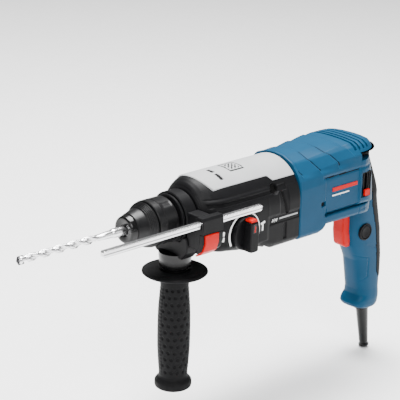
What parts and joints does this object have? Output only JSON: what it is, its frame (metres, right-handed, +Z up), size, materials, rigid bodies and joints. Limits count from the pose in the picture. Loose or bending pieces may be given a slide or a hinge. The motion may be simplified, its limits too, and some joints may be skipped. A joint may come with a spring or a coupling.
{
  "type": "rotary hammer",
  "caption": "Corded rotary hammer with a keyed tool holder, fluted drill bit, mode selector, clamped side handle with depth rod, and vibration-damped rear handle.",
  "frame": {"origin": "on the spindle axis, in the mouth of the dust cap at the tool holder's front end", "axes": "+X from the tool holder back to the rear handle, +Z up, -Y the side with the mode selector"},
  "size_m": [0.5075, 0.0985, 0.2684],
  "materials": {
    "black_plastic": "satin",
    "blue_plastic": "satin",
    "grey_plastic": "satin",
    "red_plastic": "gloss",
    "soft_rubber": "matte",
    "gloss_black": "gloss",
    "bright_steel": "bright",
    "machined_steel": "satin",
    "cast_aluminium": "as cast",
    "copper": "enamelled wire",
    "lamination": "satin"
  },
  "bodies": {
    "housing": {"gear_housing": "black_plastic", "top_cover": "grey_plastic", "motor_housing": "blue_plastic", "pivot_pin": "machined_steel", "gear_frame": "cast_aluminium", "bearing_bridge": "cast_aluminium", "housing_screws": "machined_steel", "vent_grilles": "black_plastic", "stator": "lamination", "field_windings": "copper", "spindle_front_bearing": "bright_steel", "spindle_rear_bearing": "bright_steel", "counter_front_bush": "copper", "counter_rear_bearing": "bright_steel", "motor_front_bearing": "bright_steel", "motor_rear_bearing": "bright_steel", "handle_bellows": "soft_rubber", "handle_spring": "bright_steel"},
    "spindle": {"tool_holder": "machined_steel", "locking_balls": "bright_steel", "dust_cap": "gloss_black", "hammer_tube": "machined_steel", "spindle_gear": "machined_steel", "sleeve_spring": "bright_steel"},
    "sleeve": {"lock_sleeve": "black_plastic", "catch_ring": "machined_steel"},
    "bit": {"drill_bit": "bright_steel"},
    "impact_bolt": {"impact_bolt": "machined_steel"},
    "striker": {"striker": "machined_steel"},
    "piston": {"piston": "cast_aluminium"},
    "trunnion": {"trunnion": "machined_steel"},
    "wobble": {"wobble_ring": "machined_steel"},
    "counter": {"counter_shaft": "machined_steel", "counter_gear": "machined_steel", "wobble_hub": "machined_steel"},
    "clutch": {"clutch_sleeve": "machined_steel"},
    "armature": {"armature_shaft": "machined_steel", "armature_core": "lamination", "armature_windings": "copper", "fan": "black_plastic", "commutator": "copper"},
    "direction": {"direction_lever": "red_plastic", "brush_plate": "black_plastic", "carbon_brushes": "lamination"},
    "handle": {"rear_handle": "blue_plastic", "grip_rubber": "soft_rubber", "switch_body": "black_plastic", "cord_boot": "gloss_black", "trigger_spring": "bright_steel"},
    "trigger": {"trigger": "red_plastic"},
    "lock_button": {"lock_button": "black_plastic"},
    "knob": {"mode_knob": "black_plastic"},
    "knob_button": {"knob_button": "red_plastic"},
    "fork": {"shift_fork": "machined_steel"},
    "clamp": {"clamp_body": "black_plastic", "clamp_bolt": "machined_steel"},
    "side_grip": {"side_grip": "soft_rubber", "grip_nut": "machined_steel"},
    "depth_rod": {"depth_rod": "bright_steel"},
    "depth_button": {"depth_button": "red_plastic"}
  },
  "joints": [
    {"name": "armature_spin", "type": "hinge", "parent": "housing", "child": "armature", "pos_m": [0.248, 0, -0.002], "axis": [1, 0, 0], "continuous": true},
    {"name": "counter_spin", "type": "hinge", "parent": "housing", "child": "counter", "pos_m": [0.15, 0, -0.025], "axis": [1, 0, 0], "continuous": true},
    {"name": "spindle_spin", "type": "hinge", "parent": "housing", "child": "spindle", "pos_m": [0.07, 0, 0], "axis": [1, 0, 0], "continuous": true},
    {"name": "sleeve_pull", "type": "slide", "parent": "spindle", "child": "sleeve", "axis": [1, 0, 0], "range_m": [0, 0.0033], "stiffness_N_per_m": 2000, "springref_m": -0.004, "deforming": ["sleeve_spring"]},
    {"name": "bit_float", "type": "slide", "parent": "spindle", "child": "bit", "axis": [1, 0, 0], "range_m": [-0.006, 0.001]},
    {"name": "impact_bolt_travel", "type": "slide", "parent": "spindle", "child": "impact_bolt", "axis": [1, 0, 0], "range_m": [-0.001, 0.002]},
    {"name": "striker_travel", "type": "slide", "parent": "spindle", "child": "striker", "axis": [1, 0, 0], "range_m": [-0.0015, 0.007]},
    {"name": "wobble_tilt", "type": "hinge", "parent": "housing", "child": "wobble", "pos_m": [0.16, 0, -0.025], "axis": [0, 1, 0], "range_deg": [-12.2, 12.2]},
    {"name": "piston_stroke", "type": "slide", "parent": "housing", "child": "piston", "axis": [1, 0, 0], "range_m": [-0.0052, 0.0052]},
    {"name": "trunnion_turn", "type": "hinge", "parent": "piston", "child": "trunnion", "pos_m": [0.16, 0, 0], "axis": [0, 1, 0], "range_deg": [-12.5, 12.5]},
    {"name": "direction_turn", "type": "hinge", "parent": "housing", "child": "direction", "pos_m": [0.3, 0, -0.002], "axis": [1, 0, 0], "range_deg": [-22, 0]},
    {"name": "mode_turn", "type": "hinge", "parent": "housing", "child": "knob", "pos_m": [0.1255, -0.05, -0.02], "axis": [0, 1, 0], "range_deg": [-90, 90]},
    {"name": "mode_button_press", "type": "slide", "parent": "knob", "child": "knob_button", "axis": [0, 0, -1], "range_m": [0, 0.002], "stiffness_N_per_m": 400, "springref_m": -0.002},
    {"name": "fork_shift", "type": "slide", "parent": "housing", "child": "fork", "axis": [1, 0, 0], "range_m": [-0.0035, 0.0035]},
    {"name": "clutch_shift", "type": "slide", "parent": "counter", "child": "clutch", "axis": [1, 0, 0], "range_m": [-0.0036, 0.0036]},
    {"name": "handle_rock", "type": "hinge", "parent": "housing", "child": "handle", "pos_m": [0.256, 0, -0.0365], "axis": [0, 1, 0], "range_deg": [-0.7, 0.7], "stiffness_Nm_per_rad": 900, "deforming": ["handle_bellows", "handle_spring"]},
    {"name": "trigger_pull", "type": "slide", "parent": "handle", "child": "trigger", "axis": [1, 0, 0], "range_m": [0, 0.007], "stiffness_N_per_m": 600, "springref_m": -0.006, "deforming": ["trigger_spring"]},
    {"name": "lock_press", "type": "slide", "parent": "handle", "child": "lock_button", "axis": [0, 1, 0], "range_m": [0, 0.0028], "stiffness_N_per_m": 500, "springref_m": -0.002},
    {"name": "clamp_swivel", "type": "hinge", "parent": "housing", "child": "clamp", "pos_m": [0.0693, 0, 0], "axis": [1, 0, 0], "range_deg": [-180, 0]},
    {"name": "grip_twist", "type": "hinge", "parent": "clamp", "child": "side_grip", "pos_m": [0.0693, 0, -0.12], "axis": [0, 0, 1], "range_deg": [0, 360]},
    {"name": "rod_slide", "type": "slide", "parent": "clamp", "child": "depth_rod", "axis": [1, 0, 0], "range_m": [-0.045, 0.09]},
    {"name": "depth_button_press", "type": "slide", "parent": "clamp", "child": "depth_button", "axis": [0, 1, 0], "range_m": [0, 0.0018], "stiffness_N_per_m": 400, "springref_m": -0.002}
  ],
  "couplings": [
    {"joint": "counter_spin", "follows": "armature_spin", "ratio": -0.21053},
    {"joint": "spindle_spin", "follows": "armature_spin", "ratio": 0.066482},
    {"joint": "wobble_tilt", "follows": "piston_stroke", "rad_per_m": 40},
    {"joint": "trunnion_turn", "follows": "piston_stroke", "rad_per_m": 40},
    {"joint": "mode_turn", "follows": "fork_shift", "rad_per_m": 448.79},
    {"joint": "clutch_shift", "follows": "fork_shift", "ratio": 1}
  ]
}
